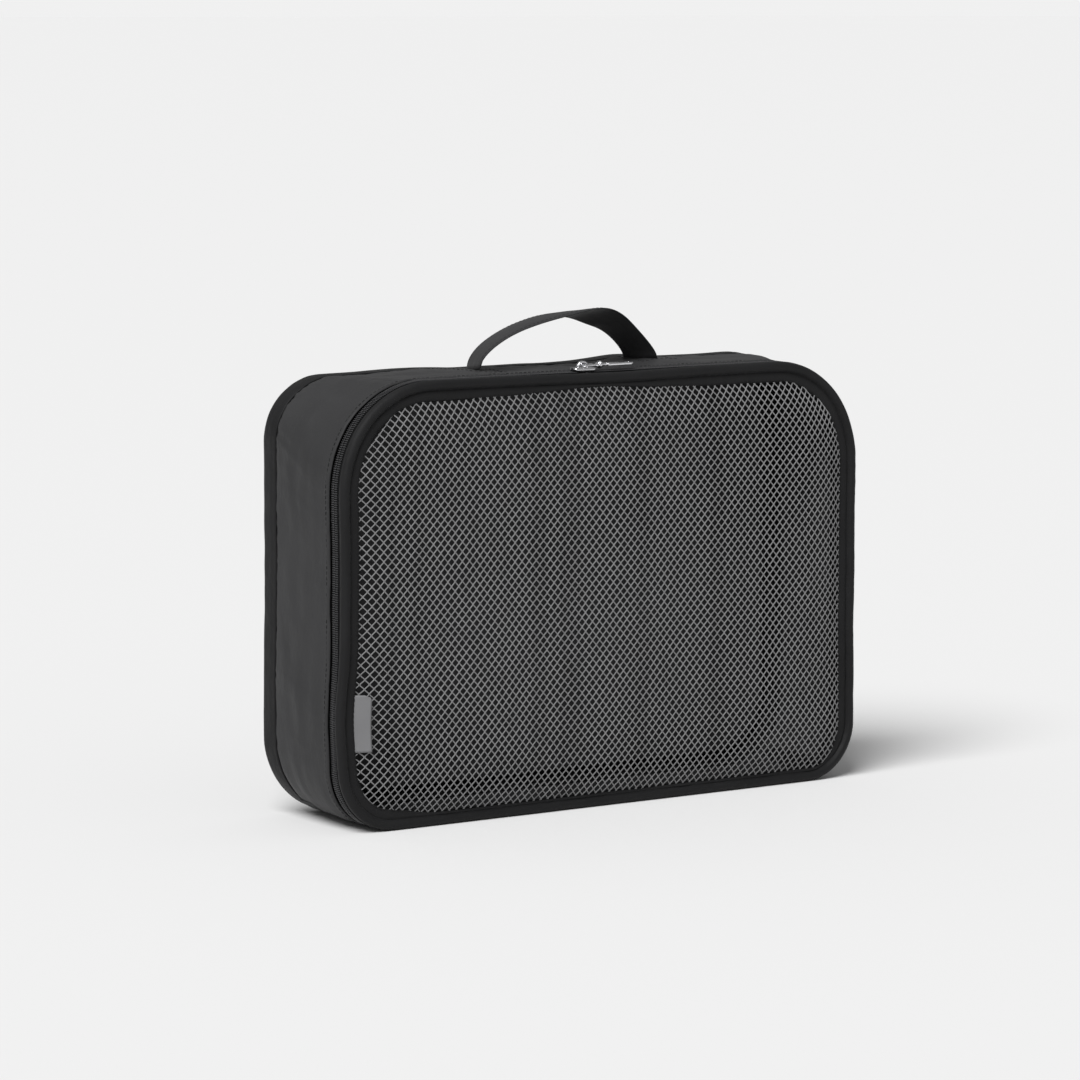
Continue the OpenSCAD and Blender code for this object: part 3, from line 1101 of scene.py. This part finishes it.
class NetWindow(Maker):
    """The knitted net that fills the lid."""

    cell_width: float = 4.8 * MM
    cell_height: float = 5.4 * MM
    thread_radius: float = 0.42 * MM
    bond: float = 0.9 * MM
    swell: float = 8.0 * MM
    hidden: float = 2.0 * MM

    def surface(self, x: float, z: float) -> Vector:
        """Returns the swollen place of a net point."""
        frame = self.frame
        x += 0.5 * MM * ripple(x, 0.0, z, 0.03, 2.5)
        z += 0.5 * MM * ripple(x, 0.0, z, 0.035, 5.1)
        inside = frame.front.depth(x, z) - frame.window_at(x, z) + self.hidden
        share = 1 - math.exp(-max(0.0, inside) / (14 * MM))
        wave = 1.3 * MM * ripple(x, 0.0, z * 0.5, 0.05, 6.6) * share
        y = frame.front_y + 0.2 * MM - self.swell * share - wave
        return Vector((x, y, z)) + frame.form.shift(x, frame.front_y, z, frame.front_y) * (1 - share)

    def thread(self, middle_x: float, phase: int, rows: int) -> list[list[Vector]]:
        """Runs one thread down the net, in a zigzag that touches both its neighbours.

        Args:
            middle_x: Place of the thread's middle line.
            phase: 1 or -1, the side that it starts on.
            rows: Number of rows of bonds.

        Returns:
            The stretches of the thread that lie inside the window.
        """
        frame = self.frame
        swing = self.cell_width / 4 - 0.6 * self.thread_radius
        runs: list[list[Vector]] = [[]]
        for row in range(rows + 1):
            side = phase if row % 2 == 0 else -phase
            for end in (-0.5, 0.5):
                x, z = middle_x + side * swing, row * self.cell_height / 2 + end * self.bond
                if frame.front.depth(x, z) > frame.window_at(x, z) - self.hidden:
                    runs[-1].append(self.surface(x, z))
                elif runs[-1]:
                    runs.append([])
        return [run for run in runs if len(run) > 1]

    def build(self, threads: Recipe) -> None:
        """Knits every thread, and gives the net its round yarn and its material."""
        frame = self.frame
        count = round(frame.front.width / (self.cell_width / 2))
        rows = round(frame.front.height / (self.cell_height / 2))
        lines: list[list[Vector]] = []
        for k in range(count + 1):
            phase = 1 if k % 2 == 0 else -1
            lines.extend(self.thread((k - count / 2) * self.cell_width / 2, phase, rows))
        net = polyline("front_net", lines)
        self.repeat_along(threads, net, Slot.NET, Radius=self.thread_radius, Sides=3)
        self.finish(net, Slot.NET, Body.LID, "net_panel")
        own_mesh(net)


class ZipRun(Maker):
    """The zip's tapes and its two rows of coil."""

    pitch: float = 1.25 * MM

    def tooth(self, name: str, heading: int) -> bpy.types.Object:
        """Builds one turn of coil: a bar across the zip with a rounded head.

        Args:
            name: The new object's name.
            heading: 1 where the head points to +Y, -1 where it points to -Y.

        Returns:
            A small object, to be copied and then removed.
        """
        low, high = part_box("zip_coil_case")
        half = (high.y - low.y) / 2
        stops = [(-half, 0.2), (-half * 0.9, 0.34), (half * 0.3, 0.36), (half * 0.85, 0.5)]
        stops.append((half * 1.2, 0.34))
        return spindle(name, [(y * heading, radius * MM) for y, radius in stops], axis=1)

    def coil(self, node: str, body: Body, heading: int, repeat: Recipe) -> None:
        """Lays one row of coil along the zip."""
        frame = self.frame
        low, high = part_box(node)
        middle = (low.y + high.y) / 2
        depth = 0.35 * MM
        line = [frame.point(s, depth, middle) for s in frame.zip_stations(2.0 * MM)]
        tooth = self.tooth(f"tooth_{body.value}", heading)
        row = polyline(f"coil_{body.value}", [line])
        sizes = {"Piece": tooth, "Spacing": self.pitch, "Jitter": 0.05}
        self.repeat_along(repeat, row, Slot.ZIP_COIL, **sizes)
        bpy.data.objects.remove(tooth)
        self.finish(row, Slot.ZIP_COIL, body, node)

    def tape(self, node: str, body: Body) -> None:
        """Lays one zip tape under its coil, with a raised woven cord beside the coil."""
        frame = self.frame
        low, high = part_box(node)
        shallow, deep = 1.35 * MM, 3.2 * MM
        if body is Body.CASE:
            line = [(shallow, low.y), (shallow, low.y + 2.3 * MM), (deep, low.y + 3.4 * MM)]
            line += [(deep, low.y + 6.5 * MM), (2.3 * MM, high.y)]
            stations = frame.zip_stations(2.0 * MM, 0.26)
        else:
            line = [(shallow, low.y + (high.y - low.y) * k / 3) for k in range(4)]
            stations = frame.zip_stations(2.0 * MM)
        section = thick(line, -0.35 * MM)
        piece = frame.ring_piece(f"{node}_cloth", lambda s: section, stations)
        self.finish(piece, Slot.ZIP_TAPE, body, node)

    def build(self, repeat: Recipe) -> None:
        """Builds both halves of the zip."""
        self.tape("zip_tape_case", Body.CASE)
        self.tape("zip_tape_lid", Body.LID)
        self.coil("zip_coil_case", Body.CASE, -1, repeat)
        self.coil("zip_coil_lid", Body.LID, 1, repeat)


class CarryHandle(Maker):
    """The strap on top, which bends at its two sewn feet."""

    twist_left: float = math.radians(20)
    twist_right: float = math.radians(-9)
    roll: float = math.radians(21)
    thickness: float = 1.3 * MM
    settled: float = 2.6 * MM
    squareness: float = 0.58

    def __init__(self, frame: CubeFrame, wardrobe: Wardrobe) -> None:
        """Reads the handle's sizes from the frame."""
        super().__init__(frame, wardrobe)
        left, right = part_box("handle_leg_left"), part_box("handle_leg_right")
        strap_low, strap_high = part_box("handle_strap")
        self.low, self.high = left[0].x - 1.8 * MM, right[1].x
        self.base = left[0].z
        self.top = strap_high.z
        self.middle_y = (strap_low.y + strap_high.y) / 2
        self.width = strap_high.y - strap_low.y
        self.bend_top = strap_low.z
        self.lean = 12 * MM

    def line(self, share: float) -> tuple[Vector, Vector, Vector]:
        """Finds the strap's middle line.

        Args:
            share: 0 at the left foot, 1 at the right foot.

        Returns:
            The point, the direction across the strap and the direction out of its upper face.
        """

        def place(u: float) -> Vector:
            arch = math.sin(math.pi * min(1.0, max(0.0, u)))
            x = self.low + (self.high - self.low) * u + self.lean * arch**2
            rise = self.top - self.base - self.thickness / 2 - self.settled
            z = self.base + rise * arch**self.squareness
            return Vector((x, self.middle_y, z))

        ahead = (place(share + 0.004) - place(share - 0.004)).normalized()
        turn = self.twist_left + (self.twist_right - self.twist_left) * share
        roll = self.roll * bell(share, 0.68, 0.2)
        across = Vector((math.sin(turn), math.cos(turn), -math.tan(roll)))
        across = (across - ahead * across.dot(ahead)).normalized()
        return place(share), across, ahead.cross(across).normalized()

    def settle_height(self, share: float, side: float) -> float:
        """Returns how far the cloth lies above the strap's middle sheet.

        Args:
            share: 0 at the left foot, 1 at the right foot.
            side: Place across the strap, from its middle.

        Returns:
            The height in metres, from soft waves and from the strap's curled edges.
        """
        wave = 0.35 * MM * ripple(share * 0.15, side, 0.0, 0.02, 4.0)
        return wave - 1.2 * MM * (side / self.width * 2) ** 2 * math.sin(math.pi * share)

    def strap(self) -> bpy.types.Object:
        """Builds the strap as one folded band with rounded edges."""
        rings: list[list[Vector]] = []
        steps = 90
        for k in range(steps + 1):
            share = k / steps
            middle, across, up = self.line(share)
            ring: list[Vector] = []
            points = 28
            for i in range(points):
                angle = 2 * math.pi * i / points
                c, s = math.cos(angle), math.sin(angle)
                side = math.copysign(abs(c) ** 0.35, c) * self.width / 2
                rise = math.copysign(abs(s) ** 0.6, s) * self.thickness / 2
                height = rise + self.settle_height(share, side)
                ring.append(middle + across * side + up * height)
            rings.append(ring)
        return loft("carry_strap", rings, path_closed=False)

    def settle(self, piece: bpy.types.Object) -> None:
        """Bakes a piece's place into its mesh and logs its number of faces."""
        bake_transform(piece)
        LOG.info("%s: %d faces", piece.name, len(piece.data.polygons))

    def seams(self, stitch: bpy.types.Object, repeat: Recipe) -> None:
        """Sews a row of stitches along both edges of the strap."""
        lines: list[list[Vector]] = []
        for side in (-1, 1):
            row: list[Vector] = []
            steps = 120
            for k in range(steps + 1):
                share = 0.02 + 0.96 * k / steps
                middle, across, up = self.line(share)
                reach = side * (self.width / 2 - 2.4 * MM)
                height = self.thickness * 0.4 + self.settle_height(share, reach)
                row.append(middle + across * reach + up * height)
            lines.append(row)
        sewn = polyline("handle_stitches", lines)
        sizes = {"Piece": stitch, "Spacing": Stitching.spacing, "Jitter": 0.1}
        self.repeat_along(repeat, sewn, Slot.BINDING, **sizes)
        self.settle(sewn)

    def build(self, stitch: bpy.types.Object, repeat: Recipe) -> None:
        """Builds the strap and its stitches."""
        strap = self.strap()
        self.wardrobe.dress(strap, Slot.WEBBING)
        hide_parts("handle_strap", "handle_leg_left", "handle_leg_right")
        self.settle(strap)
        self.seams(stitch, repeat)


class SideLabel(Maker):
    """The blank folded label at the lower left of the window."""

    corner: float = 3.4 * MM
    thickness: float = 0.6 * MM

    def __init__(self, frame: CubeFrame, wardrobe: Wardrobe, window: NetWindow) -> None:
        """Reads the label's place from the frame, and keeps the net that it lies over."""
        super().__init__(frame, wardrobe)
        self.window = window
        self.low, self.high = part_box("label_tab")

    def build(self) -> None:
        """Builds the label as a thin band with one rounded corner and a soft curl."""
        rings: list[list[Vector]] = []
        steps, columns = 26, 10
        for k in range(steps + 1):
            z = self.low.z + (self.high.z - self.low.z) * k / steps
            over = max(0.0, z - (self.high.z - self.corner))
            cut = self.corner - math.sqrt(max(0.0, self.corner**2 - over**2))
            tip = self.high.x - 4.4 * MM - cut
            face: list[Vector] = []
            for i in range(columns + 1):
                share = i / columns
                x = self.low.x + (tip - self.low.x) * share
                net = self.window.surface(x, z)
                above = self.thickness + self.window.thread_radius
                lift = above + 0.9 * MM * share**1.5 + 0.2 * MM * math.sin(170 * z) * share
                face.append(Vector((net.x, net.y - lift * smooth_step(0.0, 0.3, share), z)))
            back = [p + Vector((0.0, self.thickness, 0.0)) for p in reversed(face)]
            rings.append(face + back)
        label = loft("side_label", rings, path_closed=False)
        self.finish(label, Slot.LABEL, Body.LID, "label_tab")
        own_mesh(label)


class Stitching(Maker):
    """Rows of thread along the seams."""

    spacing: float = 3.0 * MM

    def __init__(self, frame: CubeFrame, wardrobe: Wardrobe, repeat: Recipe) -> None:
        """Builds the single stitch that every row repeats."""
        super().__init__(frame, wardrobe)
        self.repeat = repeat
        half, radius = 1.05 * MM, 0.22 * MM
        thin = 0.35 * radius
        stops = [(-half, thin), (-half * 0.75, radius), (half * 0.75, radius), (half, thin)]
        self.stitch = spindle("one_stitch", stops, axis=0)

    def sew(self, name: str, body: Body, lines: Sequence[Sequence[Vector]], closed: bool) -> None:
        """Sews stitches along lines, as one piece that rides on a body."""
        row = polyline(name, lines, closed)
        sizes = {"Piece": self.stitch, "Spacing": self.spacing, "Jitter": 0.1}
        self.repeat_along(self.repeat, row, Slot.BINDING, **sizes)
        self.finish(row, Slot.BINDING, body)

    def build(self, shell: CaseShell) -> None:
        """Sews the hem, the handle's patches, the border and the back panel."""
        frame = self.frame
        hem_y = frame.fold_y + 1.4 * MM
        run = frame.zip_stations(3.0 * MM)
        hem = [frame.point(s, -0.1 * MM, hem_y) for s in run]
        self.sew("hem_stitches", Body.CASE, [hem], closed=False)
        self.sew("patch_stitches", Body.CASE, shell.patch_lines(), closed=False)
        border_y = frame.front_y - 0.95 * MM
        border: list[Vector] = []
        for station in frame.stations:
            x, z, _, _ = frame.front.place(station)
            border.append(frame.point(station, frame.window_at(x, z) - 1.5 * MM, border_y))
        self.sew("border_stitches", Body.LID, [border], closed=True)
        back_y = frame.back_y + 0.9 * MM
        ring = [frame.point(s, 2 * frame.back_radius + 1.6 * MM, back_y) for s in frame.stations]
        self.sew("back_stitches", Body.CASE, [ring], closed=True)


class MetalSlider(Maker):
    """The cast slider and its pull, with their edges rounded."""

    weld: float = 0.004 * MM
    reweld: float = 0.002 * MM

    def cast(self, node: bpy.types.Object, name: str, body: Body, edge: float) -> None:
        """Copies a CAD node, rounds its edges and stands the copy in for it.

        Args:
            node: The CAD node.
            name: The new piece's name.
            body: The body that it rides on.
            edge: Radius of the rounded edges in metres.
        """
        mesh = node.data.copy()
        work = bmesh.new()
        work.from_mesh(mesh)
        bmesh.ops.remove_doubles(work, verts=work.verts, dist=self.weld)
        flat, corner, sharp_from = (math.radians(angle) for angle in (2, 40, 50))
        bmesh.ops.dissolve_limit(work, angle_limit=flat, verts=work.verts, edges=work.edges)
        inner = [e for e in work.edges if len(e.link_faces) == 2]
        sharp = [e for e in inner if e.calc_face_angle(0.0) > corner]
        bmesh.ops.bevel(work, geom=sharp, offset=edge, segments=2, affect="EDGES", clamp_overlap=True)
        bmesh.ops.remove_doubles(work, verts=work.verts, dist=self.reweld)
        bmesh.ops.triangulate(work, faces=[f for f in work.faces if len(f.verts) > 4])
        work.to_mesh(mesh)
        work.free()
        mesh.polygons.foreach_set("use_smooth", [True] * len(mesh.polygons))
        mesh.set_sharp_from_angle(angle=sharp_from)
        self.finish(object_from(name, mesh), Slot.METAL, body, node.name)

    def build(self, nodes: dict[str, bpy.types.Object]) -> None:
        """Builds the slider and the pull from the CAD nodes."""
        self.cast(nodes["slider_body"], "zip_slider", Body.SLIDER, 0.12 * MM)
        self.cast(nodes["puller"], "zip_pull", Body.PULL, 0.15 * MM)


# ---------------------------------------------------------------- studio


@dataclass(frozen=True)
class Studio:
    """The floor, the light and the camera.

    Attributes:
        azimuth: Camera direction round the cube, in degrees.
        elevation: Camera height above the horizon, in degrees.
        distance: Distance from the cube's middle along the view.
        across: How far right of the view's middle the cube sits.
        up: How far above the view's middle the cube sits.
        lens: Focal length for the sensor below.
        sensor: Sensor width.
        backdrop: Brightness of what the camera sees past the floor.
        fill: Strength of the even light.
        sun_energy: Strength of the key light.
        sun_spread: Width of the key light in degrees.
        sun_from: Direction to the key light.
        floor_half: Half of the floor's side in metres.
    """

    azimuth: float = -34.898
    elevation: float = 6.482
    distance: float = 2.6943
    across: float = 0.01578
    up: float = -0.02424
    lens: float = 155.292
    sensor: float = 36.0
    backdrop: float = 0.875
    fill: float = 0.3
    sun_energy: float = 3.33
    sun_spread: float = 34.0
    sun_from: tuple[float, float, float] = (-0.72, -0.42, 1.0)
    floor_half: float = 300.0

    def camera(self, centre: Vector) -> None:
        """Places the camera so that the cube sits where it should in the picture."""
        a, e = math.radians(self.azimuth), math.radians(self.elevation)
        back = Vector((math.sin(a) * math.cos(e), -math.cos(a) * math.cos(e), math.sin(e)))
        right = Vector((math.cos(a), math.sin(a), 0.0))
        upward = back.cross(right)
        data = bpy.data.cameras.new("camera")
        data.lens = self.lens
        data.sensor_width = self.sensor
        data.clip_end = 1000.0
        camera = object_from("camera", data)
        camera.location = centre - right * self.across - upward * self.up + back * self.distance
        camera.rotation_euler = back.to_track_quat("Z", "Y").to_euler()
        bpy.context.scene.camera = camera

    def floor(self) -> None:
        """Lays a wide pale floor."""
        half = self.floor_half
        mesh = bpy.data.meshes.new("floor")
        corners = [(-half, -half, 0), (half, -half, 0), (half, half, 0), (-half, half, 0)]
        mesh.from_pydata(corners, [], [(0, 1, 2, 3)])
        floor = object_from("floor", mesh)
        material, tree, shader = new_material("pale_floor")
        look = {"Base Color": (0.8, 0.8, 0.8, 1.0), "Roughness": 0.9, "Specular IOR Level": 0.1}
        tree.fill(shader, look)
        mesh.materials.append(material)

    def world(self) -> None:
        """Fills the room with even light, and shows a plain backdrop behind the floor."""
        world = bpy.data.worlds.new("studio")
        bpy.context.scene.world = world
        world.use_nodes = True
        tree, nodes = NodeTree(world.node_tree), world.node_tree.nodes
        fill = nodes["Background"]
        tree.fill(fill.inputs, {"Color": (1.0, 1.0, 1.0, 1.0), "Strength": self.fill})
        shown = tree.add("ShaderNodeBackground", {"Color": (self.backdrop,) * 3 + (1.0,)})
        rays = tree.add("ShaderNodeLightPath")
        parts = {0: rays["Is Camera Ray"], 1: fill.outputs[0], 2: shown[0]}
        mix = tree.add("ShaderNodeMixShader", parts)
        tree.fill(nodes["World Output"].inputs, {0: mix[0]})

    def sun(self) -> None:
        """Adds one broad soft light from the left, in front and above."""
        data = bpy.data.lights.new("key", "SUN")
        data.energy = self.sun_energy
        data.angle = math.radians(self.sun_spread)
        key = object_from("key", data)
        key.rotation_euler = Vector(self.sun_from).to_track_quat("Z", "Y").to_euler()

    def build(self, centre: Vector) -> None:
        """Sets up the whole studio."""
        bpy.context.scene.view_settings.view_transform = "Standard"
        self.camera(centre)
        self.floor()
        self.world()
        self.sun()


def dress_hidden_nodes(nodes: dict[str, bpy.types.Object], wardrobe: Wardrobe) -> None:
    """Gives the CAD nodes that stay in view their proper cloth."""
    kept = {
        "gusset_seam_tape_left": Slot.BINDING,
        "gusset_seam_tape_right": Slot.BINDING,
        "zip_end_tab_left": Slot.NYLON,
        "zip_end_tab_right": Slot.NYLON,
    }
    for name, slot in kept.items():
        wardrobe.dress(nodes[name], slot)


def main() -> None:
    """Builds the cube, piece by piece, and then the studio round it."""
    logging.basicConfig(level=logging.INFO, format="%(name)s %(message)s")
    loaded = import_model()
    frame = CubeFrame()
    wardrobe = Wardrobe()
    threads, repeat = thread_recipe(), repeat_recipe()
    centre = Vector((0.0, 0.0, frame.front.height / 2))
    Studio().build(centre)
    shell = CaseShell(frame, wardrobe)
    shell.build()
    LidFrame(frame, wardrobe).build()
    window = NetWindow(frame, wardrobe)
    window.build(threads)
    ZipRun(frame, wardrobe).build(repeat)
    stitching = Stitching(frame, wardrobe, repeat)
    stitching.build(shell)
    CarryHandle(frame, wardrobe).build(stitching.stitch, repeat)
    bpy.data.objects.remove(stitching.stitch)
    SideLabel(frame, wardrobe, window).build()
    MetalSlider(frame, wardrobe).build(loaded["nodes"])
    dress_hidden_nodes(loaded["nodes"], wardrobe)


if __name__ == "__main__":
    main()
